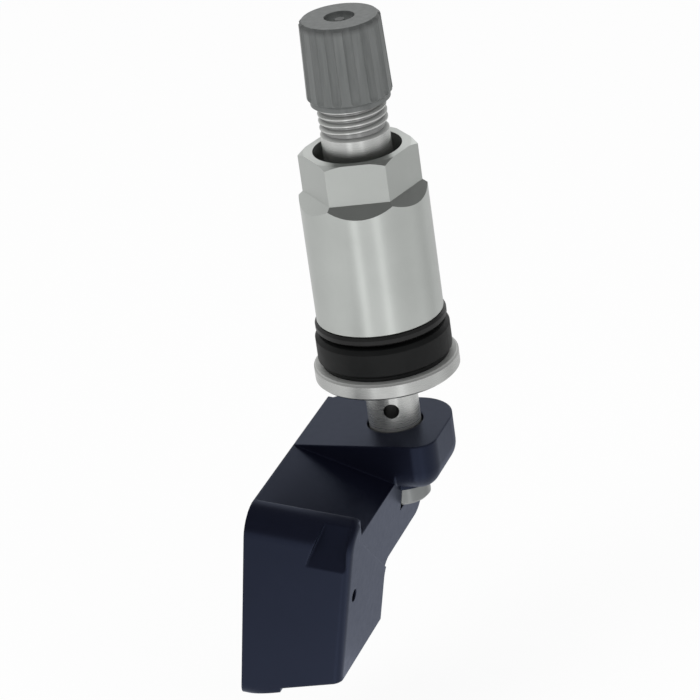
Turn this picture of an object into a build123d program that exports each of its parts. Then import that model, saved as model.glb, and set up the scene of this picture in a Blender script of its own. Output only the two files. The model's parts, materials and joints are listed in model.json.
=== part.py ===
"""Tyre pressure sensor: a clamp-in wheel valve screwed to a small moulded sensor housing."""

import os
from math import atan, cos, degrees, radians, tan

from build123d import *

# All sizes are in millimetres. Z runs along the valve, up towards its cap, and Z = 0 is
# the plane in which the wheel rim rests on the seal. Y runs along the housing, from its
# free end (-Y) to its seat for the valve. -X faces the rim and +X faces the tyre.

# Clearances
THREAD_GAP = 0.05
FACE_GAP = 0.05
SOCKET_GAP = 0.25
FIT_GAP = 0.15

# Valve stem
TIP_DIA = 7.7
TIP_CHAMFER = 0.6
BODY_DIA = 9.6
BODY_CONE = 0.9
FLANGE_LEDGE = 0.6
FLANGE_HEIGHT = 1.9
FLANGE_CHAMFER = 0.25
SHANK_DIA = 6.0
SHANK_DROP = 6.4
SHANK_CHAMFER = 0.3
SOCKET_DEPTH = 2.4
AIR_BORE_DIA = 2.6
AIR_BORE_END = 4.2
CROSS_HOLE_DIA = 1.8
CROSS_HOLE_DROP = 3.9
FLAT_AZIMUTH = 15.0

# Rim seal
SEAL_BAND = 2.05
SEAL_HEIGHT = 3.8
SEAL_UNDERCUT = 0.4
SEAL_ROUND = 0.45
NECK_WALL = 0.75
NECK_HEIGHT = 2.3

# Thrust washer and union nut
RIM_GAP = 0.5
WASHER_INSET = 0.2
WASHER_HEIGHT = 1.0
WASHER_BEVEL = 0.25
NECK_PLAY = 0.2
NUT_INSET = 0.25
NUT_LENGTH = 20.0
NUT_RECESS = 1.1
NUT_CHAMFER = 0.15
NUT_MOUTH_GAP = 1.15
NUT_MOUTH_DEPTH = 4.2
HEX_STEP = 1.4
HEX_LENGTH = 4.6
HEX_RUNOUT = 1.3
HEX_CHAMFER = 0.45
HEX_CROWN_ANGLE = 30.0

# Valve cap
CAP_GAP = 5.6
CAP_LENGTH = 9.6
CAP_TOP_DIA = 9.0
CAP_BASE_DIA = 9.5
CAP_LIP_DIA = 8.9
CAP_LIP_LENGTH = 0.5
CAP_TOP_WALL = 1.2
CAP_TOP_ROUND = 0.3
FLUTE_COUNT = 14
FLUTE_RADIUS = 0.62
FLUTE_DEPTH = 0.3
FLUTE_START = 1.25
GASKET_HEIGHT = 1.0

# Valve core
CORE_BORE_DIA = 5.3
CORE_BORE_DEPTH = 5.8
CORE_SEAT_DIA = 4.2
CORE_SEAT_DEPTH = 17.5
CORE_SEAT_CONE = 0.9
CORE_INSET = 1.0
CORE_HEAD_LENGTH = 4.6
CORE_KEY_FLATS = 3.4
CORE_KEY_LENGTH = 1.6
CORE_TUBE_DIA = 3.5
CORE_LENGTH = 13.0
CORE_CHAMBER_DIA = 2.7
CORE_WEB = 1.4
CORE_TOP_WALL = 1.6
CORE_GASKET_LENGTH = 1.8
PIN_DIA = 1.2
PIN_HOLE_DIA = 1.6
PIN_INSET = 0.4
PIN_COLLAR_DIA = 2.3
PIN_COLLAR_LENGTH = 0.5
PIN_STROKE = 1.2
CORE_SEAL_DIA = 3.2
CORE_SEAL_LENGTH = 1.4
PIN_FOOT_LENGTH = 0.5
SPRING_WIRE = 0.3
SPRING_DIA = 1.9
SPRING_TURNS = 5
WIRE_SIDES = 8

# Stud on the foot of the stem and the keyed nut that holds it
STUD_DIA = 4.0
STUD_CHAMFER = 0.4
STUD_INSET = 0.2
STUD_PLAY = 0.2
FOOT_NUT_DIA = 6.0
FOOT_NUT_HEIGHT = 2.6
FOOT_NUT_BEVEL = 0.35
FOOT_NUT_FLAT = 2.5
NOTCH_PLAY = 0.4
NOTCH_GAP = 0.3

# Sensor housing, in its own leaning directions: across (X), along (Y) and up (Z)
LEAN = 9.4
RIM_FACE = 9.9
TYRE_FACE = 2.65
TYRE_DRAFT = 0.9
PAD_STEP = 0.3
NEAR_END = 23.5
BOX_END = 8.1
FAR_END = 6.0
WEB_BOTTOM = 14.1
BOX_BOTTOM_RIM = 25.3
BOX_BOTTOM_TYRE = 21.0
BOTTOM_STEP = 0.5
BOTTOM_STEP_PLACE = 4.6
TOP_ROUND = 3.0
NEAR_ROUND = 1.5
FAR_ROUND = 4.0
WEB_ROUND = 2.5
EDGE_ROUND = 0.4
TYRE_ROUND = 0.9
CREASE_TOP_Y = 20.6
CREASE_TOP_DROP = 4.0
CREASE_END_DROP = 14.6
VALLEY_DROP = 2.8
END_RIM = 3.4
END_RIM_SLOPE = 1.2
SCOOP_DEPTH = 1.8
SCOOP_BOTTOM = 6.9
SCOOP_INNER_TOP = 1.0
SCOOP_INNER_BOTTOM = 2.7
SCOOP_OUTER = 1.9

# Seat bracket for the valve, square to the valve
BRACKET_FRONT = 6.8
BRACKET_REACH = 6.3
BRACKET_HEIGHT = 5.9
BRACKET_CORNER = 5.0
BRACKET_FRONT_CORNER = 2.5
BRACKET_BACK_CORNER = 2.0
BRACKET_LOWER_ROUND = 2.5
BOSS_DIA = 8.4
BOSS_HEIGHT = 1.0

# Hollow of the housing and its cover
WALL = 1.5
END_WALL = 1.0
COVER_THICK = 1.6
COVER_LEDGE = 0.7
CAVITY_TOP = 5.8
CAVITY_BOTTOM = 19.4
COVER_CORNER = 1.2
RIB_WIDTH = 1.0
RIB_LENGTH = 5.0
RIB_SPREAD = 8.0
POST_DIA = 1.6
POST_INSET = 1.2

# Electronics
BOARD_THICK = 0.8
BOARD_GAP = 0.2
CHIP_SIZE = 4.0
CHIP_HEIGHT = 1.5
CHIP_BLEND = 0.2
PORT_DIA = 1.5
PORT_PLACE = 21.0
PORT_DROP = 10.9
PORT_SEAL_WALL = 0.5
PORT_SEAL_HEIGHT = 0.6
BATTERY_DIA = 12.0
BATTERY_THICK = 2.5
BATTERY_STEP = 0.4
BATTERY_LIFT = 1.7
TAB_THICK = 0.2
TAB_WIDTH = 3.0
TAB_REACH = 5.0
TAB_FOOT = 1.4
COIL_LENGTH = 7.0
COIL_WIDTH = 2.8
COIL_HEIGHT = 1.8
COIL_FLANGE = 0.9
COIL_CORE = 1.0
COIL_PLACE = 15.0
CRYSTAL_LENGTH = 3.2
CRYSTAL_WIDTH = 2.0
CRYSTAL_HEIGHT = 0.8
CAPACITOR_LENGTH = 1.0
CAPACITOR_WIDTH = 0.5
CAPACITOR_COUNT = 4
CAPACITOR_PITCH = 1.4
ANTENNA_WIRE = 0.5
ANTENNA_RISE = 4.6

# Widths that follow from the ones above
NECK_BORE = BODY_DIA + 2 * THREAD_GAP
NECK_DIA = NECK_BORE + 2 * NECK_WALL
SEAL_DIA = NECK_DIA + 2 * SEAL_BAND
FLANGE_DIA = SEAL_DIA + 2 * FLANGE_LEDGE
WASHER_DIA = SEAL_DIA - 2 * WASHER_INSET
NUT_DIA = WASHER_DIA - 2 * NUT_INSET
NUT_MOUTH_DIA = TIP_DIA + 2 * NUT_MOUTH_GAP
HEX_FLATS = NUT_DIA - 2 * HEX_STEP

# Heights along the valve
Z_FLANGE_TOP = -SEAL_HEIGHT
Z_FLANGE = Z_FLANGE_TOP - FLANGE_HEIGHT
Z_LAND = Z_FLANGE - SHANK_DROP
Z_FOOT = Z_LAND - SOCKET_DEPTH
Z_BRACKET = Z_LAND - BRACKET_HEIGHT
Z_BOSS = Z_BRACKET - BOSS_HEIGHT
Z_FOOT_NUT = Z_BOSS - FOOT_NUT_HEIGHT
Z_STUD = Z_FOOT_NUT + STUD_INSET
Z_NOTCH = Z_FOOT_NUT - NOTCH_GAP
Z_NUT = RIM_GAP + WASHER_HEIGHT + FACE_GAP
Z_NUT_TOP = Z_NUT + NUT_LENGTH
Z_CAP = Z_NUT_TOP + CAP_GAP
Z_CAP_TOP = Z_CAP + CAP_LENGTH
Z_GASKET = Z_CAP_TOP - CAP_TOP_WALL - FACE_GAP - GASKET_HEIGHT
Z_TIP = Z_GASKET - FACE_GAP
Z_BODY_TOP = Z_NUT_TOP - NUT_MOUTH_DEPTH
Z_CORE = Z_TIP - CORE_INSET
Z_CORE_NECK = Z_CORE - CORE_HEAD_LENGTH
Z_CORE_END = Z_CORE - CORE_LENGTH
Z_CHAMBER_TOP = Z_CORE - CORE_TOP_WALL
Z_CHAMBER_END = Z_CORE_END + CORE_WEB

# Places in the leaning directions of the housing
TOP = -RIM_FACE * tan(radians(LEAN))
CAVITY_TYRE = TYRE_FACE - WALL
CAVITY_RIM = -RIM_FACE + COVER_THICK
CAVITY_NEAR = -NEAR_END + END_WALL
CAVITY_FAR = -BOX_END - WALL
CAVITY_MID_Y = (CAVITY_NEAR + CAVITY_FAR) / 2
CAVITY_MID_Z = -(CAVITY_TOP + CAVITY_BOTTOM) / 2
CHIP_TOP = CAVITY_TYRE - PORT_SEAL_HEIGHT
BOARD_TOP = CHIP_TOP - CHIP_HEIGHT
BOARD_BACK = BOARD_TOP - BOARD_THICK
BATTERY_TOP = BOARD_BACK - BATTERY_LIFT
BATTERY_BACK = BATTERY_TOP - BATTERY_THICK

housing_place = Location((0, 0, Z_LAND), (0, LEAN, 0))


def turned(outline):
    """Solid of revolution about Z from an outline of (radius, z) points."""
    points = [(radius, 0, z) for radius, z in outline]
    return revolve(make_face(Polyline(*points, close=True)), Axis.Z)


def tube(outer_dia, inner_dia, z_low, z_high):
    """Plain ring about Z."""
    outline = [
        (inner_dia / 2, z_low),
        (outer_dia / 2, z_low),
        (outer_dia / 2, z_high),
        (inner_dia / 2, z_high),
    ]
    return turned(outline)


def rod(dia, z_low, z_high):
    """Plain round bar about Z."""
    return Pos(0, 0, (z_low + z_high) / 2) * Cylinder(dia / 2, z_high - z_low)


def block(x_low, x_high, y_low, y_high, z_low, z_high):
    """Box between two corners."""
    centre = Pos((x_low + x_high) / 2, (y_low + y_high) / 2, (z_low + z_high) / 2)
    return centre * Box(x_high - x_low, y_high - y_low, z_high - z_low)


def side_prism(wire, x_low, x_high):
    """Prism across the housing from a closed outline of (along, up) points."""
    plane = Plane(origin=(x_low, 0, 0), x_dir=(0, 1, 0), z_dir=(1, 0, 0))
    return extrude(plane * make_face(wire), x_high - x_low)


def end_prism(wire, y_low, y_high):
    """Prism along the housing from a closed outline of (across, up) points."""
    plane = Plane(origin=(0, y_high, 0), x_dir=(1, 0, 0), z_dir=(0, -1, 0))
    return extrude(plane * make_face(wire), y_high - y_low)


def valve_stem():
    tip = TIP_DIA / 2
    body = BODY_DIA / 2
    flange = FLANGE_DIA / 2
    shank = SHANK_DIA / 2
    stud = STUD_DIA / 2
    outline = [
        (0, Z_STUD),
        (stud - STUD_CHAMFER, Z_STUD),
        (stud, Z_STUD + STUD_CHAMFER),
        (stud, Z_FOOT),
        (shank - SHANK_CHAMFER, Z_FOOT),
        (shank, Z_FOOT + SHANK_CHAMFER),
        (shank, Z_FLANGE),
        (flange - FLANGE_CHAMFER, Z_FLANGE),
        (flange, Z_FLANGE + FLANGE_CHAMFER),
        (flange, Z_FLANGE_TOP - FLANGE_CHAMFER),
        (flange - FLANGE_CHAMFER, Z_FLANGE_TOP),
        (body, Z_FLANGE_TOP),
        (body, Z_BODY_TOP - BODY_CONE),
        (tip, Z_BODY_TOP),
        (tip, Z_TIP - TIP_CHAMFER),
        (tip - TIP_CHAMFER, Z_TIP),
        (0, Z_TIP),
    ]
    core = CORE_BORE_DIA / 2
    seat = CORE_SEAT_DIA / 2
    air = AIR_BORE_DIA / 2
    z_seat = Z_TIP - CORE_BORE_DEPTH
    z_air = Z_TIP - CORE_SEAT_DEPTH
    bore = [
        (0, Z_FLANGE - AIR_BORE_END),
        (air, Z_FLANGE - AIR_BORE_END),
        (air, z_air),
        (seat, z_air),
        (seat, z_seat - CORE_SEAT_CONE),
        (core, z_seat),
        (core, Z_TIP),
        (0, Z_TIP),
    ]
    cross_hole = Rot(0, 0, FLAT_AZIMUTH) * Rot(90, 0, 0) * Cylinder(CROSS_HOLE_DIA / 2, FLANGE_DIA)
    cross_hole = Pos(0, 0, Z_FLANGE - CROSS_HOLE_DROP) * cross_hole
    return turned(outline) - turned(bore) - cross_hole


def rim_seal():
    inner = NECK_BORE / 2
    outer = SEAL_DIA / 2
    outline = [
        (inner, Z_FLANGE_TOP),
        (outer - SEAL_UNDERCUT, Z_FLANGE_TOP),
        (outer - SEAL_UNDERCUT, Z_FLANGE_TOP + SEAL_UNDERCUT),
        (outer, Z_FLANGE_TOP + 2 * SEAL_UNDERCUT),
        (outer, -SEAL_ROUND),
        (outer - SEAL_ROUND, 0),
        (inner, 0),
    ]
    return turned(outline)


def seal_neck():
    """Sleeve of the seal that fills the hole of the rim."""
    return tube(NECK_DIA, NECK_BORE, 0, NECK_HEIGHT)


def thrust_washer():
    ring = tube(WASHER_DIA, NECK_DIA + 2 * NECK_PLAY, RIM_GAP, RIM_GAP + WASHER_HEIGHT)
    rims = ring.edges().filter_by(GeomType.CIRCLE).sort_by(SortBy.RADIUS)[-2:]
    return chamfer(rims, WASHER_BEVEL)


def hex_cut():
    """Cutter for one flat of the nut, with the sloped run-out that ends it."""
    flat = HEX_FLATS / 2
    z_flat = Z_NUT_TOP - HEX_LENGTH
    slope = (NUT_DIA / 2 - flat) / HEX_RUNOUT
    far = NUT_DIA
    outline = Polyline(
        (flat, Z_NUT_TOP),
        (flat, z_flat),
        (far, z_flat - (far - flat) / slope),
        (far, Z_NUT_TOP),
        close=True,
    )
    return end_prism(outline, -NUT_DIA, NUT_DIA)


def union_nut():
    outer = NUT_DIA / 2
    bore = BODY_DIA / 2 + THREAD_GAP
    recess = NECK_DIA / 2 + NECK_PLAY
    mouth = NUT_MOUTH_DIA / 2
    crown = HEX_FLATS / 2 + HEX_CHAMFER / 2
    outline = [
        (recess, Z_NUT),
        (outer - NUT_CHAMFER, Z_NUT),
        (outer, Z_NUT + NUT_CHAMFER),
        (outer, Z_NUT_TOP - (outer - crown) * tan(radians(HEX_CROWN_ANGLE))),
        (crown, Z_NUT_TOP),
        (mouth, Z_NUT_TOP),
        (mouth, Z_NUT_TOP - NUT_MOUTH_DEPTH),
        (bore, Z_NUT_TOP - NUT_MOUTH_DEPTH),
        (bore, Z_NUT + NUT_RECESS),
        (recess, Z_NUT + NUT_RECESS),
    ]
    nut = turned(outline)
    for side in range(6):
        nut -= Rot(0, 0, FLAT_AZIMUTH - 90 + 60 * side) * hex_cut()
    return nut


def valve_cap():
    lip = CAP_LIP_DIA / 2
    base = CAP_BASE_DIA / 2
    top = CAP_TOP_DIA / 2
    bore = TIP_DIA / 2 + THREAD_GAP
    outline = [
        (0, Z_CAP_TOP),
        (top - CAP_TOP_ROUND, Z_CAP_TOP),
        (top, Z_CAP_TOP - CAP_TOP_ROUND),
        (base, Z_CAP + CAP_LIP_LENGTH + (base - lip)),
        (lip, Z_CAP + CAP_LIP_LENGTH),
        (lip, Z_CAP),
        (bore, Z_CAP),
        (bore, Z_CAP_TOP - CAP_TOP_WALL),
        (0, Z_CAP_TOP - CAP_TOP_WALL),
    ]
    cap = turned(outline)
    slope = (base - top) / (CAP_LENGTH - CAP_LIP_LENGTH)
    centre = base - slope * FLUTE_START + FLUTE_RADIUS - FLUTE_DEPTH
    flute = Pos(0, 0, CAP_LENGTH / 2) * Cylinder(FLUTE_RADIUS, CAP_LENGTH) + Sphere(FLUTE_RADIUS)
    flute = Rot(0, -degrees(atan(slope)), 0) * flute
    place = Pos(0, 0, Z_CAP + FLUTE_START)
    for number in range(FLUTE_COUNT):
        turn = Rot(0, 0, FLAT_AZIMUTH + 360 * number / FLUTE_COUNT)
        cap -= place * turn * Pos(centre, 0, 0) * flute
    return cap


def cap_gasket():
    return rod(TIP_DIA, Z_GASKET, Z_GASKET + GASKET_HEIGHT)


def core_barrel():
    head = CORE_BORE_DIA / 2 - THREAD_GAP
    outer = CORE_TUBE_DIA / 2
    chamber = CORE_CHAMBER_DIA / 2
    hole = PIN_HOLE_DIA / 2
    outline = [
        (hole, Z_CORE),
        (head, Z_CORE),
        (head, Z_CORE_NECK),
        (outer, Z_CORE_NECK),
        (outer, Z_CORE_END),
        (hole, Z_CORE_END),
        (hole, Z_CHAMBER_END),
        (chamber, Z_CHAMBER_END),
        (chamber, Z_CHAMBER_TOP),
        (hole, Z_CHAMBER_TOP),
    ]
    barrel = turned(outline)
    key = CORE_KEY_FLATS / 2
    z_key = Z_CORE - CORE_KEY_LENGTH
    barrel -= block(-head, -hole - THREAD_GAP, -head, -key / 2, z_key, Z_CORE)
    barrel -= block(hole + THREAD_GAP, head, key / 2, head, z_key, Z_CORE)
    return barrel


def core_gasket():
    z_seat = Z_TIP - CORE_BORE_DEPTH - CORE_SEAT_CONE
    outer = CORE_SEAT_DIA - 2 * THREAD_GAP
    return tube(outer, CORE_TUBE_DIA + 2 * THREAD_GAP, z_seat - CORE_GASKET_LENGTH, z_seat)


def core_pin():
    pin = PIN_DIA / 2
    collar = PIN_COLLAR_DIA / 2
    foot = CORE_SEAL_DIA / 2 - FIT_GAP
    z_collar = Z_CHAMBER_TOP - FACE_GAP
    z_seal = Z_CORE_END - FACE_GAP - CORE_SEAL_LENGTH
    outline = [
        (0, Z_TIP - PIN_INSET),
        (pin, Z_TIP - PIN_INSET),
        (pin, z_collar),
        (collar, z_collar),
        (collar, z_collar - PIN_COLLAR_LENGTH),
        (pin, z_collar - PIN_COLLAR_LENGTH),
        (pin, z_seal),
        (foot, z_seal),
        (foot, z_seal - PIN_FOOT_LENGTH),
        (0, z_seal - PIN_FOOT_LENGTH),
    ]
    return turned(outline)


def core_seal():
    z_top = Z_CORE_END - FACE_GAP
    return tube(CORE_SEAL_DIA, PIN_DIA + 2 * THREAD_GAP, z_top - CORE_SEAL_LENGTH, z_top)


def core_spring():
    z_low = Z_CHAMBER_END + FACE_GAP + SPRING_WIRE / 2
    z_high = Z_CHAMBER_TOP - 2 * FACE_GAP - PIN_COLLAR_LENGTH - SPRING_WIRE / 2
    height = z_high - z_low
    path = Pos(0, 0, z_low) * Helix(height / SPRING_TURNS, height, SPRING_DIA / 2)
    section = Plane(origin=path @ 0, z_dir=path % 0) * RegularPolygon(SPRING_WIRE / 2, WIRE_SIDES)
    return sweep(section, path, is_frenet=True)


def foot_nut():
    """Round nut on the stud, with a flat that keeps it from turning in its notch."""
    inner = STUD_DIA / 2 + THREAD_GAP
    outer = FOOT_NUT_DIA / 2
    outline = [
        (inner, Z_FOOT_NUT),
        (outer - FOOT_NUT_BEVEL, Z_FOOT_NUT),
        (outer, Z_FOOT_NUT + FOOT_NUT_BEVEL),
        (outer, Z_BOSS),
        (inner, Z_BOSS),
    ]
    return turned(outline) & keyed(FOOT_NUT_FLAT, FOOT_NUT_DIA, Z_FOOT_NUT)


def keyed(flat, width, z_low):
    """Block up to the boss with a flat on the rim side, this far from the valve's axis."""
    return block(-flat, width, -width, width, z_low, Z_BOSS)


def nut_notch():
    """Cutter for the notch that takes the nut, open on the tyre side."""
    wide = FOOT_NUT_DIA + 2 * NOTCH_PLAY
    return rod(wide, Z_NOTCH, Z_BOSS) & keyed(FOOT_NUT_FLAT + FIT_GAP, wide, Z_NOTCH)


def housing_blank():
    """Outer form of the leaning housing, before its seat, hollow and cuts."""
    plan = FilletPolyline(
        (-NEAR_END, TOP),
        (FAR_END, TOP),
        (FAR_END, -WEB_BOTTOM),
        (-BOX_END, -WEB_BOTTOM),
        (-BOX_END, -BOX_BOTTOM_RIM),
        (-NEAR_END, -BOX_BOTTOM_RIM),
        radius=[TOP_ROUND, EDGE_ROUND, WEB_ROUND, NEAR_ROUND, FAR_ROUND, NEAR_ROUND],
        close=True,
    )
    slab = side_prism(plan, -RIM_FACE, TYRE_FACE)
    step = -RIM_FACE + BOTTOM_STEP_PLACE
    slope = (BOX_BOTTOM_RIM - BOX_BOTTOM_TYRE) / (RIM_FACE + TYRE_FACE)
    z_step = -BOX_BOTTOM_RIM + slope * BOTTOM_STEP_PLACE
    section = Polyline(
        (-RIM_FACE, TOP),
        (TYRE_FACE, TOP),
        (TYRE_FACE - TYRE_DRAFT, -BOX_BOTTOM_TYRE),
        (step, z_step + BOTTOM_STEP),
        (step, z_step),
        (-RIM_FACE, -BOX_BOTTOM_RIM),
        close=True,
    )
    blank = slab & end_prism(section, -NEAR_END, FAR_END)
    near_face = blank.faces().sort_by(Axis.Y)[0]
    tyre_corner = near_face.edges().sort_by(Axis.X)[-1]
    return fillet(tyre_corner, TYRE_ROUND)


def strip_cut():
    """Cutter for the lower face beside the pad, above its sloping crease."""
    outline = Polyline(
        (-CREASE_TOP_Y, TOP),
        (-CREASE_TOP_Y, -CREASE_TOP_DROP),
        (-BOX_END, -CREASE_END_DROP),
        (FAR_END, -CREASE_END_DROP),
        (FAR_END, TOP),
        close=True,
    )
    layer = Polyline(
        (TYRE_FACE - PAD_STEP, TOP),
        (TYRE_FACE, TOP),
        (TYRE_FACE, -BOX_BOTTOM_TYRE),
        (TYRE_FACE - TYRE_DRAFT - PAD_STEP, -BOX_BOTTOM_TYRE),
        close=True,
    )
    return side_prism(outline, -RIM_FACE, TYRE_FACE) & end_prism(layer, -CREASE_TOP_Y, FAR_END)


def valley_cut():
    """Cutter for the sloping top face between the end rim and the seat bracket."""
    y_near = -NEAR_END + END_RIM
    across = Polyline(
        (-RIM_FACE, TOP),
        (TYRE_FACE, TOP - VALLEY_DROP),
        (TYRE_FACE, TOP),
        close=True,
    )
    along = Polyline(
        (y_near, TOP),
        (y_near + END_RIM_SLOPE, TOP - VALLEY_DROP),
        (-BRACKET_FRONT, TOP - VALLEY_DROP),
        (-BRACKET_FRONT, TOP),
        close=True,
    )
    return end_prism(across, y_near, -BRACKET_FRONT) & side_prism(along, -RIM_FACE, TYRE_FACE)


def scoop_cut():
    """Cutter for the sloping recess at the top of the free end."""
    ramp = Polyline(
        (-NEAR_END, -SCOOP_BOTTOM),
        (-NEAR_END + SCOOP_DEPTH, TOP),
        (-NEAR_END, TOP),
        close=True,
    )
    sides = Polyline(
        (-SCOOP_INNER_BOTTOM, -SCOOP_BOTTOM),
        (SCOOP_OUTER, -SCOOP_BOTTOM),
        (SCOOP_OUTER, TOP),
        (-SCOOP_INNER_TOP, TOP),
        close=True,
    )
    wedge = side_prism(ramp, -RIM_FACE, TYRE_FACE)
    return wedge & end_prism(sides, -NEAR_END, -NEAR_END + SCOOP_DEPTH)


def seat_bracket():
    """Block square to the valve that carries its foot, beside the leaning housing."""
    rim_side = -RIM_FACE / cos(radians(LEAN))
    outline = FilletPolyline(
        (rim_side, -BRACKET_FRONT),
        (BRACKET_REACH, -BRACKET_FRONT),
        (BRACKET_REACH, FAR_END),
        (rim_side, FAR_END),
        radius=[EDGE_ROUND, BRACKET_FRONT_CORNER, BRACKET_CORNER, BRACKET_BACK_CORNER],
        close=True,
    )
    bracket = Pos(0, 0, Z_BRACKET) * extrude(make_face(outline), BRACKET_HEIGHT)
    under = bracket.faces().sort_by(Axis.Z)[0]
    lower = under.edges().filter_by(lambda edge: edge.center().X > 0)
    return fillet(lower, BRACKET_LOWER_ROUND)


def housing_hollow():
    """Hollow for the electronics, with the wider step that takes the cover."""
    hollow = block(CAVITY_RIM, CAVITY_TYRE, CAVITY_NEAR, CAVITY_FAR, -CAVITY_BOTTOM, -CAVITY_TOP)
    return hollow + cover_plate(0)


def cover_plate(gap):
    """Plate that fills the stepped opening, less a gap all round."""
    ledge = COVER_LEDGE - gap
    outline = FilletPolyline(
        (CAVITY_NEAR - END_WALL / 2 + gap, -CAVITY_BOTTOM - ledge),
        (CAVITY_FAR + ledge, -CAVITY_BOTTOM - ledge),
        (CAVITY_FAR + ledge, -CAVITY_TOP + ledge),
        (CAVITY_NEAR - END_WALL / 2 + gap, -CAVITY_TOP + ledge),
        radius=COVER_CORNER,
        close=True,
    )
    return side_prism(outline, -RIM_FACE, CAVITY_RIM)


def sensor_housing():
    body = housing_blank() - strip_cut() - valley_cut() - scoop_cut()
    body = housing_place * body + seat_bracket()
    body += rod(BOSS_DIA, Z_BOSS, Z_BRACKET)
    body -= housing_place * housing_hollow()
    body -= nut_notch()
    body -= rod(STUD_DIA + 2 * STUD_PLAY, Z_BOSS, Z_FOOT)
    body -= rod(SHANK_DIA + 2 * SOCKET_GAP, Z_FOOT, Z_LAND)
    port = Pos(0, -PORT_PLACE, -PORT_DROP) * Rot(0, 90, 0) * Cylinder(PORT_DIA / 2, 2 * TYRE_FACE + WALL)
    body -= housing_place * port
    for y, z in post_places():
        post = Pos((BOARD_TOP + CAVITY_TYRE) / 2, y, z) * Rot(0, 90, 0)
        body += housing_place * post * Cylinder(POST_DIA / 2, CAVITY_TYRE - BOARD_TOP)
    return body


def post_places():
    """Places of the posts that carry the board, clear of the chip's corner."""
    near = CAVITY_NEAR + POST_INSET
    far = CAVITY_FAR - POST_INSET
    low = -CAVITY_BOTTOM + POST_INSET
    high = -CAVITY_TOP - POST_INSET
    return [(near, low), (far, low), (far, high), (near, high)]


def housing_cover():
    cover = cover_plate(FIT_GAP)
    rib_end = BATTERY_BACK - FACE_GAP
    for side in (-1, 1):
        middle = CAVITY_MID_Z + side * RIB_SPREAD / 2
        cover += block(
            CAVITY_RIM,
            rib_end,
            CAVITY_MID_Y - RIB_LENGTH / 2,
            CAVITY_MID_Y + RIB_LENGTH / 2,
            middle - RIB_WIDTH / 2,
            middle + RIB_WIDTH / 2,
        )
    return housing_place * cover


def circuit_board():
    board = block(
        BOARD_BACK,
        BOARD_TOP,
        CAVITY_NEAR + BOARD_GAP,
        CAVITY_FAR - BOARD_GAP,
        -CAVITY_BOTTOM + BOARD_GAP,
        -CAVITY_TOP - BOARD_GAP,
    )
    return housing_place * board


def pressure_chip():
    y_low = CAVITY_NEAR + BOARD_GAP
    z_low = -PORT_DROP - CHIP_SIZE / 2
    chip = block(BOARD_TOP, CHIP_TOP, y_low, y_low + CHIP_SIZE, z_low, z_low + CHIP_SIZE)
    chip = chamfer(chip.edges().group_by(Axis.X)[-1], CHIP_BLEND)
    inlet = Pos(CHIP_TOP, -PORT_PLACE, -PORT_DROP) * Rot(0, 90, 0) * Cylinder(PORT_DIA / 2, CHIP_HEIGHT)
    return housing_place * (chip - inlet)


def port_seal():
    outer = Cylinder(PORT_DIA / 2 + PORT_SEAL_WALL, PORT_SEAL_HEIGHT)
    ring = outer - Cylinder(PORT_DIA / 2, PORT_SEAL_HEIGHT)
    place = Pos(CHIP_TOP + PORT_SEAL_HEIGHT / 2, -PORT_PLACE, -PORT_DROP) * Rot(0, 90, 0)
    return housing_place * place * ring


def battery_cell():
    rim = Cylinder(BATTERY_DIA / 2, BATTERY_THICK - BATTERY_STEP)
    lid = Cylinder(BATTERY_DIA / 2 - 2 * BATTERY_STEP, BATTERY_THICK)
    can = Pos(0, 0, -BATTERY_STEP / 2) * rim + lid
    place = Pos((BATTERY_TOP + BATTERY_BACK) / 2, CAVITY_MID_Y, CAVITY_MID_Z) * Rot(0, 90, 0)
    return housing_place * place * can


def battery_tab_positive():
    """Strip welded to the can, bent round its rim to the board."""
    outside = CAVITY_MID_Y + BATTERY_DIA / 2 + FACE_GAP
    low = CAVITY_MID_Z - TAB_WIDTH / 2
    high = CAVITY_MID_Z + TAB_WIDTH / 2
    blade = block(BATTERY_BACK - TAB_THICK, BATTERY_BACK, outside - TAB_REACH, outside + TAB_THICK, low, high)
    leg = block(BATTERY_BACK - TAB_THICK, BOARD_BACK, outside, outside + TAB_THICK, low, high)
    foot = block(BOARD_BACK - TAB_THICK, BOARD_BACK, outside - TAB_FOOT, outside + TAB_THICK, low, high)
    return housing_place * (blade + leg + foot)


def battery_tab_negative():
    """Strip welded to the lid of the cell, stepped down to the board."""
    left = CAVITY_MID_Y - TAB_WIDTH / 2
    right = CAVITY_MID_Y + TAB_WIDTH / 2
    end = CAVITY_MID_Z - TAB_REACH
    blade = block(BATTERY_TOP, BATTERY_TOP + TAB_THICK, left, right, end, CAVITY_MID_Z)
    leg = block(BATTERY_TOP, BOARD_BACK, left, right, end - TAB_THICK, end)
    foot = block(BOARD_BACK - TAB_THICK, BOARD_BACK, left, right, end, end + TAB_FOOT)
    return housing_place * (blade + leg + foot)


def coil_at(length, width, height):
    """Block of the antenna coil, centred on its place on the board."""
    middle = BOARD_TOP + COIL_HEIGHT / 2
    place = Pos(middle, -COIL_PLACE, CAVITY_MID_Z)
    return place * Box(height, width, length)


def coil_core():
    waist = coil_at(COIL_LENGTH, COIL_CORE, COIL_CORE)
    ends = coil_at(COIL_LENGTH, COIL_WIDTH, COIL_HEIGHT)
    ends -= coil_at(COIL_LENGTH - 2 * COIL_FLANGE, COIL_WIDTH, COIL_HEIGHT)
    return housing_place * (waist + ends)


def coil_winding():
    length = COIL_LENGTH - 2 * COIL_FLANGE
    turns = coil_at(length, COIL_WIDTH - FIT_GAP, COIL_HEIGHT - 2 * FIT_GAP)
    turns = fillet(turns.edges().filter_by(Axis.Z), FIT_GAP)
    return housing_place * (turns - coil_at(length, COIL_CORE, COIL_CORE))


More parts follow.
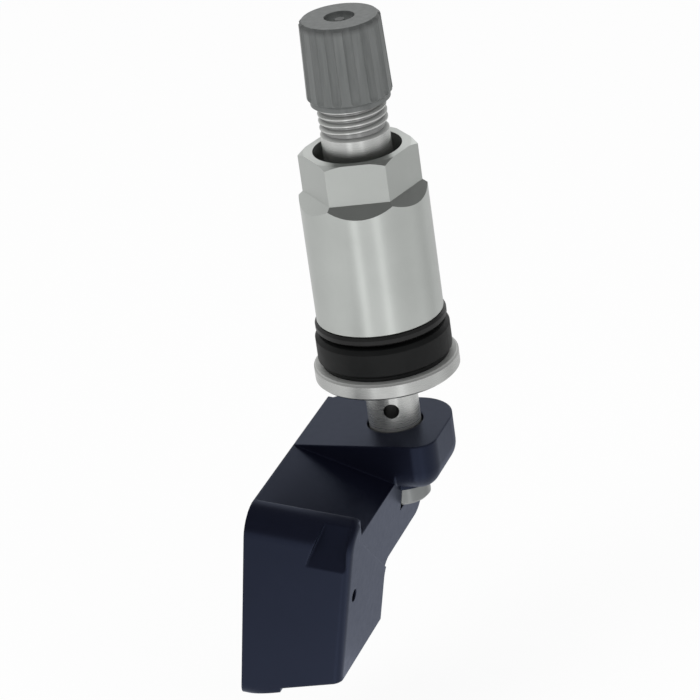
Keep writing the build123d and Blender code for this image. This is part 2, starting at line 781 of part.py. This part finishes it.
def timing_crystal():
    y_low = -COIL_PLACE - CRYSTAL_LENGTH / 2
    z_low = CAVITY_MID_Z - COIL_LENGTH / 2 - CRYSTAL_WIDTH - BOARD_GAP
    case = block(
        BOARD_TOP,
        BOARD_TOP + CRYSTAL_HEIGHT,
        y_low,
        y_low + CRYSTAL_LENGTH,
        z_low,
        z_low + CRYSTAL_WIDTH,
    )
    return housing_place * fillet(case.edges().filter_by(Axis.X), FIT_GAP)


def chip_capacitors():
    """Row of small capacitors between the coil and the wall."""
    y_low = -COIL_PLACE + COIL_WIDTH / 2 + 2 * BOARD_GAP
    z_first = CAVITY_MID_Z - CAPACITOR_PITCH * (CAPACITOR_COUNT - 1) / 2
    row = []
    for number in range(CAPACITOR_COUNT):
        z_mid = z_first + number * CAPACITOR_PITCH
        capacitor = block(
            BOARD_TOP,
            BOARD_TOP + CAPACITOR_WIDTH,
            y_low,
            y_low + CAPACITOR_LENGTH,
            z_mid - CAPACITOR_WIDTH / 2,
            z_mid + CAPACITOR_WIDTH / 2,
        )
        row.append(housing_place * capacitor)
    return Compound(children=row)


def rf_antenna():
    """Bent wire that stands on the board and runs along the top of the hollow."""
    z_wire = -CAVITY_TOP - BOARD_GAP - ANTENNA_WIRE / 2
    near = CAVITY_NEAR + POST_INSET
    far = CAVITY_FAR - POST_INSET
    path = FilletPolyline(
        (BOARD_BACK, near, z_wire),
        (BOARD_BACK - ANTENNA_RISE, near, z_wire),
        (BOARD_BACK - ANTENNA_RISE, far, z_wire),
        radius=2 * ANTENNA_WIRE,
    )
    section = Plane(origin=path @ 0, z_dir=path % 0) * RegularPolygon(ANTENNA_WIRE / 2, WIRE_SIDES)
    return housing_place * sweep(section, path)


nodes = {
    "valve_stem": valve_stem,
    "rim_seal": rim_seal,
    "seal_neck": seal_neck,
    "thrust_washer": thrust_washer,
    "union_nut": union_nut,
    "valve_cap": valve_cap,
    "cap_gasket": cap_gasket,
    "core_barrel": core_barrel,
    "core_gasket": core_gasket,
    "core_pin": core_pin,
    "core_seal": core_seal,
    "core_spring": core_spring,
    "foot_nut": foot_nut,
    "sensor_housing": sensor_housing,
    "housing_cover": housing_cover,
    "circuit_board": circuit_board,
    "pressure_chip": pressure_chip,
    "port_seal": port_seal,
    "battery_cell": battery_cell,
    "battery_tab_positive": battery_tab_positive,
    "battery_tab_negative": battery_tab_negative,
    "coil_core": coil_core,
    "coil_winding": coil_winding,
    "timing_crystal": timing_crystal,
    "chip_capacitors": chip_capacitors,
    "rf_antenna": rf_antenna,
}

os.makedirs("parts", exist_ok=True)
for name, make in nodes.items():
    export_step(make(), f"parts/{name}.step")
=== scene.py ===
import json
from math import cos, pi, radians, sin

import bmesh
import bpy
from mathutils import Matrix, Vector


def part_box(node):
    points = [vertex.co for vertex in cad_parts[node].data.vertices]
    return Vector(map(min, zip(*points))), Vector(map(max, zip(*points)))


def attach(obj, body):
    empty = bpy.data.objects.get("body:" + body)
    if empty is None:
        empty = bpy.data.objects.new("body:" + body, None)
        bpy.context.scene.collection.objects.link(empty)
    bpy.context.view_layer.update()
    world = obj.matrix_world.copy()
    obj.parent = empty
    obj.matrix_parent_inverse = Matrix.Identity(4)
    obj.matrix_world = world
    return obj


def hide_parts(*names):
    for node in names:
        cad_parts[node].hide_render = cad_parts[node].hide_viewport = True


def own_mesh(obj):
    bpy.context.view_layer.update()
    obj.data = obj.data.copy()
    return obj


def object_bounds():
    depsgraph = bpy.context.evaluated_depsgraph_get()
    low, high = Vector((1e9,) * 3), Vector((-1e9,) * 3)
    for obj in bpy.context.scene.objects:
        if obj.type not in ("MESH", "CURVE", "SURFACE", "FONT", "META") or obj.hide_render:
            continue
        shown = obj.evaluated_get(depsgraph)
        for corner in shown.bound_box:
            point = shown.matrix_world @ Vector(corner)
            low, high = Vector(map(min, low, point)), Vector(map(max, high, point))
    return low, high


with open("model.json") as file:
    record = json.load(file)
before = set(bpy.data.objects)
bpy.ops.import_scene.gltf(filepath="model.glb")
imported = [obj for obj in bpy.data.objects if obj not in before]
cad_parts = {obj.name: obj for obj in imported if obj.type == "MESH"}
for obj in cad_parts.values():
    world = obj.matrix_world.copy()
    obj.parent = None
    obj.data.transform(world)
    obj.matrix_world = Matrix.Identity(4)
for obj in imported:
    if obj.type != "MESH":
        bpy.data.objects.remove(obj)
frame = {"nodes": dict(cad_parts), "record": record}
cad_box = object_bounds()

MM = 0.001
nodes = frame["nodes"]


# Shader helpers

def shader(name, colour, roughness, metallic=0.0):
    """New node material with a principled shader set to plain starting values."""
    mat = bpy.data.materials.new(name)
    mat.use_nodes = True
    tree = mat.node_tree
    bsdf = tree.nodes["Principled BSDF"]
    bsdf.inputs["Base Color"].default_value = (*colour, 1)
    bsdf.inputs["Roughness"].default_value = roughness
    bsdf.inputs["Metallic"].default_value = metallic
    return mat, tree, bsdf


def add(tree, kind, **values):
    """New node, with inputs given by name and other settings as attributes."""
    node = tree.nodes.new(kind)
    for key, value in values.items():
        if hasattr(node, key):
            setattr(node, key, value)
        else:
            node.inputs[key.replace("_", " ")].default_value = value
    return node


def place(tree):
    """Coordinates of the piece, in metres in the row frame at rest."""
    return add(tree, "ShaderNodeTexCoord").outputs["Object"]


def calc(tree, operation, a, b=None):
    """Math node on sockets or plain numbers."""
    node = add(tree, "ShaderNodeMath", operation=operation)
    for number, value in enumerate((a, b)):
        if isinstance(value, (int, float)):
            node.inputs[number].default_value = value
        elif value is not None:
            tree.links.new(value, node.inputs[number])
    return node.outputs[0]


def times(tree, a, b):
    return calc(tree, "MULTIPLY", a, b)


def noise(tree, size, detail=3.0, rough=0.55, coords=None):
    """Noise with features of about this size in metres, from 0 to 1."""
    node = add(tree, "ShaderNodeTexNoise", Scale=1 / size, Detail=detail, Roughness=rough)
    tree.links.new(coords or place(tree), node.inputs["Vector"])
    return node.outputs["Fac"]


def spread(tree, value, low, high, start=0.3, end=0.7):
    """Value from start to end, stretched to low to high."""
    node = add(tree, "ShaderNodeMapRange")
    for key, number in (("From Min", start), ("From Max", end), ("To Min", low), ("To Max", high)):
        node.inputs[key].default_value = number
    tree.links.new(value, node.inputs["Value"])
    return node.outputs["Result"]


def two_tone(tree, bsdf, value, first, second):
    """Base colour between two close tones, over the middle of a noise."""
    ramp = add(tree, "ShaderNodeValToRGB")
    for stop, position, tone in zip(ramp.color_ramp.elements, (0.3, 0.7), (first, second)):
        stop.position = position
        stop.color = (*tone, 1)
    tree.links.new(value, ramp.inputs["Fac"])
    tree.links.new(ramp.outputs["Color"], bsdf.inputs["Base Color"])


def uneven(tree, bsdf, value, roughness, low, high):
    """Roughness that follows a noise, between two shares of its usual value."""
    tree.links.new(spread(tree, value, roughness * low, roughness * high), bsdf.inputs["Roughness"])


def bump(tree, bsdf, height, depth):
    """Bump of this depth in metres, added to any that is there already."""
    node = add(tree, "ShaderNodeBump", Strength=1.0, Distance=depth)
    tree.links.new(height, node.inputs["Height"])
    before = bsdf.inputs["Normal"].links
    if before:
        tree.links.new(before[0].from_socket, node.inputs["Normal"])
    tree.links.new(node.outputs["Normal"], bsdf.inputs["Normal"])


def axes(tree, socket):
    """X, Y and Z of a vector."""
    split = add(tree, "ShaderNodeSeparateXYZ")
    tree.links.new(socket, split.inputs[0])
    return split.outputs


def round_axis(tree):
    """Height along the valve and distance from its axis, in metres."""
    x, y, z = axes(tree, place(tree))
    square = calc(tree, "ADD", times(tree, x, x), times(tree, y, y))
    return z, calc(tree, "SQRT", square)


def rings(tree, size):
    """Turning lines round the valve: noise that changes only along and away from its axis."""
    z, radius = round_axis(tree)
    node = add(tree, "ShaderNodeTexNoise", noise_dimensions="1D", Scale=1 / size, Detail=2.0)
    tree.links.new(calc(tree, "ADD", z, radius), node.inputs["W"])
    return node.outputs["Fac"]


def streaks(tree, size):
    """Noise drawn out along Z."""
    stretch = add(tree, "ShaderNodeMapping")
    stretch.inputs["Scale"].default_value = (1, 1, 0.08)
    tree.links.new(place(tree), stretch.inputs["Vector"])
    return noise(tree, size, 3.0, 0.6, stretch.outputs[0])


def soft_edges(tree, bsdf, radius):
    """Rounds sharp edges in the shading alone."""
    edge = add(tree, "ShaderNodeBevel", samples=6, Radius=radius)
    tree.links.new(edge.outputs["Normal"], bsdf.inputs["Normal"])


# Kinds of finish

CLOUD = 4 * MM
DRAWN_STREAK = 0.6 * MM
SHEEN_PATCH = 0.8 * MM
METAL_CLOUD = 5 * MM
WIRE_STREAK = 0.25 * MM
WIRE_DEPTH = 0.002 * MM
ANISOTROPY = 0.75
COAT_WEIGHT = 0.5


def moulded(name, colour, tone, roughness, grain, depth,
            gloss=0.5, edge=0.1 * MM, coat=None, mirror=None, drawn=False):
    """Moulded plastic: slight tone changes, a fine grain, patches of different sheen and soft edges.

    A coat takes colour out of slanting reflections, and a mirror tint colours straight ones. The coat mirrors
    nothing here, and its roughness is for viewers of the exported model, where it does.
    """
    mat, tree, bsdf = shader(name, colour, roughness)
    bsdf.inputs["Specular IOR Level"].default_value = gloss
    if mirror:
        bsdf.inputs["Specular Tint"].default_value = (*mirror, 1)
    if coat:
        bsdf.inputs["Coat Weight"].default_value = COAT_WEIGHT
        bsdf.inputs["Coat Roughness"].default_value = roughness
        bsdf.inputs["Coat IOR"].default_value = 1.0
        bsdf.inputs["Coat Tint"].default_value = (*coat, 1)
    soft_edges(tree, bsdf, edge)
    cloud = streaks(tree, DRAWN_STREAK) if drawn else noise(tree, CLOUD)
    two_tone(tree, bsdf, cloud, colour, tone)
    uneven(tree, bsdf, noise(tree, SHEEN_PATCH), roughness, 0.94, 1.06)
    bump(tree, bsdf, noise(tree, grain, 4.0), depth)
    return mat


def metal(name, colour, tone, roughness, lines, depth):
    """Turned metal: fine rings round the valve, which draw its reflections out along it."""
    mat, tree, bsdf = shader(name, colour, roughness, 1.0)
    bsdf.inputs["Anisotropic"].default_value = ANISOTROPY
    bsdf.inputs["Anisotropic Rotation"].default_value = 0.25
    tangent = add(tree, "ShaderNodeTangent", direction_type="RADIAL", axis="Z")
    tree.links.new(tangent.outputs[0], bsdf.inputs["Tangent"])
    turned = rings(tree, lines)
    two_tone(tree, bsdf, noise(tree, METAL_CLOUD), colour, tone)
    uneven(tree, bsdf, turned, roughness, 0.92, 1.08)
    bump(tree, bsdf, turned, depth)
    return mat


def wire(name, colour, tone, roughness):
    """Drawn, rolled or plated metal: streaks along Z and fine scratches."""
    mat, tree, bsdf = shader(name, colour, roughness, 1.0)
    streak = streaks(tree, WIRE_STREAK)
    two_tone(tree, bsdf, streak, colour, tone)
    uneven(tree, bsdf, streak, roughness, 0.8, 1.3)
    bump(tree, bsdf, streak, WIRE_DEPTH)
    return mat


# Painted shade, and darker and duller places in a finish

SHADE = (0.02, 0.02, 0.02)
SHOULDER_SHADE = (0.025, 0.026, 0.026)
SOFT_SHADE = (0.05, 0.05, 0.05)
ROOT_SHADE = (0.20, 0.20, 0.20)
TOP_SLOPE = 0.6
TOP_ROUGHNESS = 0.6
TOP_DULLNESS = 0.16
LOW_DULLNESS = 0.10


def darken(mat, amount, colour):
    """Mixes a dark colour into the base colour of a finish."""
    tree = mat.node_tree
    base = tree.nodes["Principled BSDF"].inputs["Base Color"]
    mix = add(tree, "ShaderNodeMix", data_type="RGBA")
    tree.links.new(amount, mix.inputs["Factor"])
    tree.links.new(base.links[0].from_socket, mix.inputs[6])
    mix.inputs[7].default_value = (*colour, 1)
    tree.links.new(mix.outputs[2], base)


def painted_shade_inside(mat, reach, z_high):
    """Paints shade on the walls of holes nearer the axis than this reach, below a height."""
    tree = mat.node_tree
    z, radius = round_axis(tree)
    low = calc(tree, "LESS_THAN", z, z_high)
    darken(mat, times(tree, low, calc(tree, "LESS_THAN", radius, reach)), SHADE)


def dark_shoulder(mat, z_top, height):
    """Darkens the upper edge of the sides, below the top face."""
    tree = mat.node_tree
    z = round_axis(tree)[0]
    side = calc(tree, "LESS_THAN", z, z_top - 0.02 * MM)
    fade = spread(tree, z, 0.0, 0.6, z_top - height, z_top - 0.3 * height)
    darken(mat, times(tree, side, fade), SHOULDER_SHADE)


def painted_shade_in_roots(mat, root, crest, z_low):
    """Paints shade into the grooves of a thread above a height."""
    tree = mat.node_tree
    z, radius = round_axis(tree)
    high = calc(tree, "GREATER_THAN", z, z_low)
    groove = spread(tree, radius, 0.75, 0.0, root, crest)
    darken(mat, times(tree, high, groove), ROOT_SHADE)


def dark_beyond(mat, measure, limit, amount):
    """Darkens a finish slightly where its height or its distance from the axis is over a limit."""
    tree = mat.node_tree
    z, radius = round_axis(tree)
    beyond = calc(tree, "GREATER_THAN", z if measure == "height" else radius, limit)
    darken(mat, times(tree, beyond, amount), SOFT_SHADE)


def dull_parts(mat, z_high):
    """Makes turned metal rougher and duller on faces that look up, and slightly duller below a height."""
    tree = mat.node_tree
    inputs = tree.nodes["Principled BSDF"].inputs
    normal = axes(tree, add(tree, "ShaderNodeTexCoord").outputs["Normal"])
    top = calc(tree, "GREATER_THAN", normal["Z"], TOP_SLOPE)
    side = calc(tree, "SUBTRACT", 1.0, top)
    side_roughness = times(tree, side, inputs["Roughness"].links[0].from_socket)
    top_roughness = times(tree, top, TOP_ROUGHNESS)
    tree.links.new(calc(tree, "ADD", side_roughness, top_roughness), inputs["Roughness"])
    tree.links.new(times(tree, side, ANISOTROPY), inputs["Anisotropic"])
    low = calc(tree, "LESS_THAN", round_axis(tree)[0], z_high)
    dull = calc(tree, "ADD", times(tree, top, TOP_DULLNESS), times(tree, low, LOW_DULLNESS))
    tree.links.new(calc(tree, "SUBTRACT", 1.0, dull), inputs["Metallic"])


# Finishes, one for each slot of the record

# Two tones, roughness, and spacing and depth of the turning lines
METALS = {
    "stem_alloy": ((0.68, 0.69, 0.675), (0.73, 0.74, 0.725), 0.27, 0.06 * MM, 0.0003 * MM),
    "nut_alloy": ((0.61, 0.635, 0.61), (0.65, 0.675, 0.65), 0.32, 0.08 * MM, 0.0006 * MM),
    "core_brass": ((0.62, 0.42, 0.16), (0.70, 0.50, 0.21), 0.28, 0.08 * MM, 0.002 * MM),
    "foot_nut_steel": ((0.24, 0.25, 0.25), (0.29, 0.30, 0.30), 0.33, 0.08 * MM, 0.001 * MM),
}

# Two tones and roughness
WIRES = {
    "spring_steel": ((0.46, 0.46, 0.47), (0.56, 0.56, 0.57), 0.30),
    "cell_steel": ((0.58, 0.58, 0.58), (0.66, 0.66, 0.66), 0.25),
    "tab_steel": ((0.54, 0.53, 0.50), (0.64, 0.63, 0.60), 0.30),
    "coil_copper": ((0.58, 0.20, 0.08), (0.68, 0.28, 0.12), 0.30),
    "crystal_can": ((0.56, 0.56, 0.57), (0.66, 0.66, 0.67), 0.22),
    "antenna_wire": ((0.60, 0.42, 0.17), (0.70, 0.50, 0.22), 0.28),
}

# Two tones, roughness, size and depth of the grain, and what differs from plain plastic
NAVY = {"coat": (0.71, 0.77, 0.884), "mirror": (0.52, 0.635, 1.0)}
PLASTICS = {
    "cap_plastic": (
        (0.108, 0.115, 0.113), (0.146, 0.153, 0.151), 0.42, 0.12 * MM, 0.004 * MM, {"drawn": True}),
    "seal_rubber": (
        (0.0055, 0.006, 0.006), (0.0080, 0.0085, 0.0085), 0.50, 0.15 * MM, 0.006 * MM, {"gloss": 0.2}),
    "washer_plastic": (
        (0.009, 0.009, 0.009), (0.013, 0.013, 0.013), 0.38, 0.10 * MM, 0.003 * MM, {"gloss": 0.28}),
    "inner_rubber": (
        (0.015, 0.014, 0.014), (0.022, 0.021, 0.020), 0.6, 0.15 * MM, 0.006 * MM, {"gloss": 0.3}),
    "housing_plastic": (
        (0.0034, 0.0035, 0.0070), (0.0042, 0.0043, 0.0085), 0.33, 0.10 * MM, 0.0012 * MM,
        {"gloss": 0.44, "edge": 0.30 * MM, **NAVY}),
    "cover_plastic": (
        (0.0038, 0.0040, 0.0080), (0.0050, 0.0052, 0.0100), 0.40, 0.12 * MM, 0.002 * MM,
        {"gloss": 0.42, "edge": 0.20 * MM, **NAVY}),
    "board_laminate": ((0.006, 0.060, 0.022), (0.010, 0.085, 0.032), 0.35, 0.30 * MM, 0.004 * MM, {}),
    "chip_case": ((0.012, 0.012, 0.012), (0.020, 0.020, 0.020), 0.50, 0.08 * MM, 0.003 * MM, {}),
    "coil_ferrite": ((0.020, 0.020, 0.021), (0.032, 0.031, 0.031), 0.55, 0.10 * MM, 0.006 * MM, {}),
    "capacitor_ceramic": ((0.27, 0.17, 0.09), (0.36, 0.24, 0.13), 0.5, 0.10 * MM, 0.003 * MM, {}),
}

finishes = {}
for slot, values in METALS.items():
    finishes[slot] = metal(slot.replace("_", " "), *values)
for slot, values in WIRES.items():
    finishes[slot] = wire(slot.replace("_", " "), *values)
for slot, (*values, extras) in PLASTICS.items():
    finishes[slot] = moulded(slot.replace("_", " "), *values, **extras)

# Crest and root radius, pitch, and low end of the stem's two threads
VALVE_THREAD = (3.85 * MM, 3.42 * MM, 0.79375 * MM, 23.5 * MM)
NUT_THREAD = (4.80 * MM, 4.25 * MM, 1.0 * MM, 2.4 * MM)
NUT_THREAD_HIGH = 16.0 * MM
VALVE_CHAMFER = 0.5 * MM

STEM_BORE_REACH = 2.93 * MM
STEM_BORE_HIGH = -6 * MM
NUT_MOUTH_REACH = 4.98 * MM
NUT_MOUTH_HIGH = 30 * MM
CAP_SHOULDER = 0.9 * MM
HEX_LENGTH = 4.6 * MM
FLANGE_SIDE = 8.1 * MM
SHANK_HIGH = -5.8 * MM

# Painted shade inside the stem's bores and the nut's mouth
painted_shade_inside(finishes["stem_alloy"], STEM_BORE_REACH, STEM_BORE_HIGH)
painted_shade_inside(finishes["nut_alloy"], NUT_MOUTH_REACH, NUT_MOUTH_HIGH)
dark_shoulder(finishes["cap_plastic"], cad_box[1][2], CAP_SHOULDER)
# Painted shade in the roots of the valve thread
painted_shade_in_roots(finishes["stem_alloy"], VALVE_THREAD[1], VALVE_THREAD[0] - 0.05 * MM, VALVE_THREAD[3])
dark_beyond(finishes["nut_alloy"], "height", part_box("union_nut")[1].z - HEX_LENGTH, 0.065)
dark_beyond(finishes["stem_alloy"], "radius", FLANGE_SIDE, 0.17)
dull_parts(finishes["stem_alloy"], SHANK_HIGH)

slot_of = {part["node"]: part["material_slot"] for part in frame["record"]["subparts"]}
for name, piece in nodes.items():
    piece.data.materials.clear()
    piece.data.materials.append(finishes[slot_of[name]])


# Copies of solids that take finer work

def solid_of(node):
    """Mesh of a CAD node with its faces joined up."""
    mesh = bmesh.new()
    mesh.from_mesh(nodes[node].data)
    bmesh.ops.remove_doubles(mesh, verts=mesh.verts, dist=1e-7)
    return mesh


def new_piece(name, mesh, node):
    """Piece from a worked mesh, with the finish of the node it stands for."""
    mesh.verts.index_update()
    points = [vert.co[:] for vert in mesh.verts]
    faces = [[vert.index for vert in face.verts] for face in mesh.faces]
    mesh.free()
    data = bpy.data.meshes.new(name)
    data.from_pydata(points, [], faces)
    data.materials.append(finishes[slot_of[node]])
    data.polygons.foreach_set("use_smooth", [True] * len(faces))
    data.set_sharp_from_angle(angle=radians(32))
    piece = bpy.data.objects.new(name, data)
    bpy.context.scene.collection.objects.link(piece)
    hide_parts(node)
    return piece


# Threads of the stem

def narrow(mesh, radius, root, z_low, z_high):
    """Takes the cylinder of this radius down to its root between two heights."""
    slope, margin, near = 0.3 * MM, 0.2 * MM, 0.04 * MM
    for z in (z_low, z_low + slope, z_high - slope, z_high):
        around = mesh.verts[:] + mesh.edges[:] + mesh.faces[:]
        bmesh.ops.bisect_plane(mesh, geom=around, dist=1e-8, plane_co=(0, 0, z), plane_no=(0, 0, 1))
    for vert in mesh.verts:
        inside = z_low + margin < vert.co.z < z_high - margin
        reach = vert.co.xy.length
        if inside and abs(reach - radius) < near:
            vert.co.xy *= root / reach


def ridge(mesh, radius, root, pitch, z_low, z_high, steps=48):
    """Winds a thread ridge round Z, from its root to the full radius, running out at both ends."""
    count = int((z_high - z_low - pitch) / pitch * steps)
    foot = root - 0.05 * MM
    least, run_out = 0.02, 0.6 * steps
    loops = []
    for number in range(count + 1):
        angle = 2 * pi * number / steps
        z = z_low + pitch * (0.5 + number / steps)
        grown = min(1.0, least + number / run_out, least + (count - number) / run_out)
        crest = foot + (radius - foot) * grown
        loop = []
        for r, dz in ((foot, -0.44), (crest, -0.10), (crest, 0.10), (foot, 0.44)):
            loop.append(mesh.verts.new((r * cos(angle), r * sin(angle), z + dz * pitch)))
        loops.append(loop)
    for first, second in zip(loops, loops[1:]):
        for a in range(4):
            b = (a + 1) % 4
            mesh.faces.new((first[a], second[a], second[b], first[b]))
    mesh.faces.new(loops[0])
    mesh.faces.new(loops[-1][::-1])


def threaded(node, name, threads):
    """Copy of a solid with a thread on each of its cylinders that are listed."""
    mesh = solid_of(node)
    for radius, root, pitch, z_low, z_high in threads:
        narrow(mesh, radius, root, z_low, z_high)
    for thread in threads:
        ridge(mesh, *thread)
    return new_piece(name, mesh, node)


stem_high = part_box("valve_stem")[1]
threads = [(*VALVE_THREAD, stem_high.z - VALVE_CHAMFER), (*NUT_THREAD, NUT_THREAD_HIGH)]
stem = threaded("valve_stem", "threaded_stem", threads)
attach(stem, "sensor")


# Plain ring groove in the top of the cap

def ringed(node, name, groove, steps=48):
    """Copy of a solid with a round groove in its top face, given as radius and depth from outside in."""
    mesh = solid_of(node)
    top = max(vert.co.z for vert in mesh.verts)
    lid = [face for face in mesh.faces if all(top - vert.co.z < 1e-7 for vert in face.verts)]
    bmesh.ops.delete(mesh, geom=lid, context="FACES")
    outer = [edge for edge in mesh.edges if edge.is_boundary]
    turns = [2 * pi * n / steps for n in range(steps)]
    rims = []
    for r, depth in groove:
        rims.append([mesh.verts.new((r * cos(turn), r * sin(turn), top - depth)) for turn in turns])
    first = [mesh.edges.new((rims[0][n], rims[0][(n + 1) % steps])) for n in range(steps)]
    bmesh.ops.triangle_fill(mesh, edges=outer + first, use_beauty=True, normal=(0, 0, 1))
    for upper, lower in zip(rims, rims[1:]):
        for n in range(steps):
            m = (n + 1) % steps
            mesh.faces.new((upper[n], lower[n], lower[m], upper[m]))
    mesh.faces.new(rims[-1])
    bmesh.ops.recalc_face_normals(mesh, faces=mesh.faces)
    return new_piece(name, mesh, node)


groove = [(1.70 * MM, 0), (1.58 * MM, 0.6 * MM), (0.70 * MM, 0.6 * MM), (0.55 * MM, 0.3 * MM)]
cap = ringed("valve_cap", "ringed_cap", groove)
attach(cap, "valve_cap")


# Spring of the valve core, as a copy with a mesh of its own

spring = new_piece("pressed_spring", solid_of("core_spring"), "core_spring")
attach(spring, "sensor")
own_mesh(spring)


# Camera at the photograph's viewing angle, in the frame of the valve

def camera():
    distance, elevation, azimuth = 0.400035, radians(24.463), radians(21)
    pan, tilt, roll = radians(0.569), radians(-0.384), radians(-7.914)
    seat = 5.6 * MM
    focal_px, width_px = 3534.4, 700
    eye = Vector((0, -distance * cos(elevation), distance * sin(elevation)))
    right = Vector((1, 0, 0))
    forward = Vector((0, cos(elevation), -sin(elevation)))
    down = forward.cross(right)
    view = Matrix((right, down, forward))
    view = Matrix.Rotation(pan, 3, "Y") @ view
    view = Matrix.Rotation(tilt, 3, "X") @ view
    view = Matrix.Rotation(roll, 3, "Z") @ view
    turn = Matrix.Rotation(azimuth, 3, "Z")
    right, down, forward = (turn @ view[number] for number in range(3))
    pose = Matrix((right, -down, -forward)).transposed().to_4x4()
    pose.translation = turn @ eye - Vector((0, 0, seat))
    data = bpy.data.cameras.new("camera")
    data.sensor_width = 36
    data.lens = focal_px * data.sensor_width / width_px
    data.clip_start = 0.01
    piece = bpy.data.objects.new("camera", data)
    bpy.context.scene.collection.objects.link(piece)
    piece.matrix_world = pose
    bpy.context.scene.camera = piece


camera()


# White studio: floor, surroundings and lamps

WHITE = (1, 1, 1, 1)
FLOOR_DROP = 10 * MM
FLOOR_HALF = 2
FLOOR_TONE = (0.86, 0.86, 0.86)
FLOOR_GLOW = 0.90

# Glow of the floor in reflections, by degrees round the valve from the free end to the tyre side
GLOW = [
    (-180, 0.66), (-140, 0.68), (-111, 0.60), (-60, 0.76), (-14, 0.77), (-4, 1.3), (6, 0.80), (26, 0.80),
    (36, 1.20), (46, 0.78), (62, 0.68), (85, 0.64), (103, 0.68), (128, 0.50), (148, 0.60), (180, 0.54),
]
NEAR_GLOW, FAR_GLOW = 2.9, 2.0
NEAR_REACH, FAR_REACH = 50 * MM, 78 * MM


def bounce_strips(tree):
    """Glow of the floor as the pieces see it: two light strips, and brighter near by."""
    x, y = axes(tree, place(tree))[:2]
    turn = calc(tree, "ARCTAN2", x, times(tree, y, -1.0))
    ramp = add(tree, "ShaderNodeValToRGB")
    tree.links.new(spread(tree, turn, 0.0, 1.0, -pi, pi), ramp.inputs["Fac"])
    stops = ramp.color_ramp.elements
    for degrees, _ in GLOW[1:-1]:
        stops.new((degrees + 180) / 360)
    for stop, (degrees, level) in zip(stops, GLOW):
        stop.position = (degrees + 180) / 360
        stop.color = (level / 2, level / 2, level / 2, 1)
    near = spread(tree, round_axis(tree)[1], NEAR_GLOW, FAR_GLOW, NEAR_REACH, FAR_REACH)
    return times(tree, ramp.outputs["Color"], near)


def blend(tree, share, first, second):
    """Mix of two shaders, with this share of the second."""
    mix = add(tree, "ShaderNodeMixShader")
    for socket, number in ((share, 0), (first, 1), (second, 2)):
        tree.links.new(socket, mix.inputs[number])
    return mix.outputs[0]


def white_floor(z):
    """Pale floor that the camera sees as white, with the part's shadow, and reflections see with strips."""
    half = FLOOR_HALF
    data = bpy.data.meshes.new("floor")
    data.from_pydata([(-half, -half, z), (half, -half, z), (half, half, z), (-half, half, z)], [], [(0, 1, 2, 3)])
    floor = bpy.data.objects.new("floor", data)
    bpy.context.scene.collection.objects.link(floor)
    mat, tree, bsdf = shader("floor white", FLOOR_TONE, 0.9)
    bsdf.inputs["Specular IOR Level"].default_value = 0.0
    light = add(tree, "ShaderNodeLightPath").outputs
    seen = calc(tree, "MAXIMUM", light["Is Camera Ray"], light["Is Glossy Ray"])
    seen = calc(tree, "MAXIMUM", seen, light["Is Transmission Ray"])
    plain = light["Is Camera Ray"]
    strips = times(tree, calc(tree, "SUBTRACT", 1.0, plain), bounce_strips(tree))
    glow = add(tree, "ShaderNodeEmission", Color=WHITE)
    tree.links.new(calc(tree, "ADD", plain, strips), glow.inputs["Strength"])
    surface = blend(tree, times(tree, seen, FLOOR_GLOW), bsdf.outputs[0], glow.outputs[0])
    tree.links.new(surface, tree.nodes["Material Output"].inputs["Surface"])
    data.materials.append(mat)


def studio():
    """Surroundings: white to the camera, plain light on the part, and in reflections a room that is darker
    above on the right, on the camera's side and slightly on the left."""
    dark = 0.15
    world = bpy.data.worlds.new("studio")
    bpy.context.scene.world = world
    world.use_nodes = True
    tree = world.node_tree
    tree.nodes.clear()
    light = add(tree, "ShaderNodeLightPath").outputs
    seen = calc(tree, "MAXIMUM", light["Is Glossy Ray"], light["Is Transmission Ray"])
    x, y, z = axes(tree, add(tree, "ShaderNodeTexCoord").outputs["Generated"])
    overhead = spread(tree, calc(tree, "ADD", z, times(tree, x, 0.6)), 1.0, dark, 0.50, 0.70)
    behind = spread(tree, y, dark, 1.0, -0.25, 0.15)
    left = spread(tree, x, 0.62, 1.0, -0.70, 0.0)
    white = add(tree, "ShaderNodeBackground", Color=WHITE, Strength=1.0)
    soft = add(tree, "ShaderNodeBackground", Color=WHITE, Strength=0.75)
    walls = add(tree, "ShaderNodeBackground", Color=WHITE)
    tree.links.new(times(tree, left, calc(tree, "MINIMUM", overhead, behind)), walls.inputs["Strength"])
    lit = blend(tree, seen, soft.outputs[0], walls.outputs[0])
    surface = blend(tree, light["Is Camera Ray"], lit, white.outputs[0])
    output = add(tree, "ShaderNodeOutputWorld")
    tree.links.new(surface, output.inputs["Surface"])


def lamp(name, place_m, size, power):
    """Large soft lamp aimed at the middle of the part."""
    data = bpy.data.lights.new(name, "AREA")
    data.size = size
    data.energy = power
    piece = bpy.data.objects.new(name, data)
    bpy.context.scene.collection.objects.link(piece)
    piece.location = place_m
    piece.rotation_euler = (-Vector(place_m)).to_track_quat("-Z", "Y").to_euler()
    piece.visible_glossy = False


white_floor(cad_box[0][2] - FLOOR_DROP)
studio()
lamp("key", (-0.45, -0.55, 0.60), 0.5, 3.0)
lamp("fill", (0.60, -0.40, 0.35), 0.5, 1.5)

bpy.context.scene.view_settings.view_transform = "Standard"
